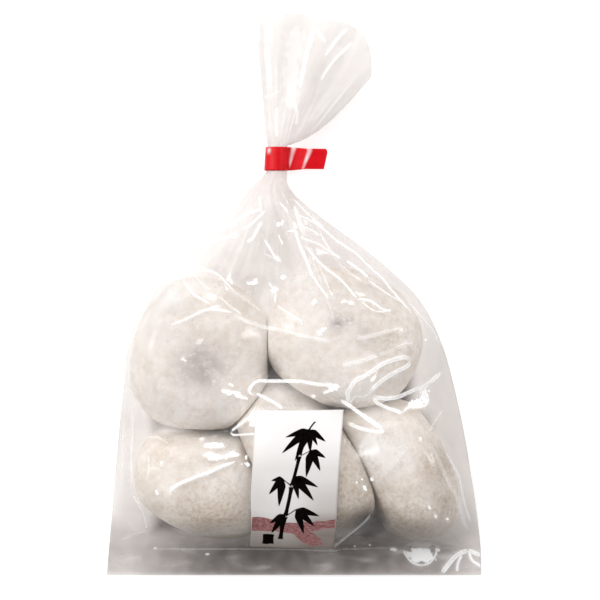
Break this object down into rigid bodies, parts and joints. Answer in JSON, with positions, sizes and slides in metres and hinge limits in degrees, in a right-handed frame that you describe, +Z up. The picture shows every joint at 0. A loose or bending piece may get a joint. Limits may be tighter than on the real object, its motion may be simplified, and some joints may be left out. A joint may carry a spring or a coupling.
{
  "type": "bag of mochi rice cakes",
  "caption": "Clear film bag of soft round mochi rice cakes, gathered at the neck and tied with a red tape, with a paper label on its front, lying on its back.",
  "frame": {"origin": "on the surface it lies on, under the middle of the whole pack", "axes": "+Z up, out of the labelled front; +Y from the flat bottom seam to the gathered mouth; +X to the right as the label is read"},
  "size_m": [0.151, 0.2256, 0.0435],
  "materials": {
    "film": "clear glossy film over pale rice cakes",
    "tape": "glossy red tape",
    "label_paper": "smooth white label paper",
    "rice_dough": "soft rice dough dusted with starch",
    "label_ink": "matt black ink",
    "label_band": "matt mauve print"
  },
  "bodies": {
    "root": {"bag": "film", "tie": "tape", "label": "label_paper"}
  },
  "joints": []
}
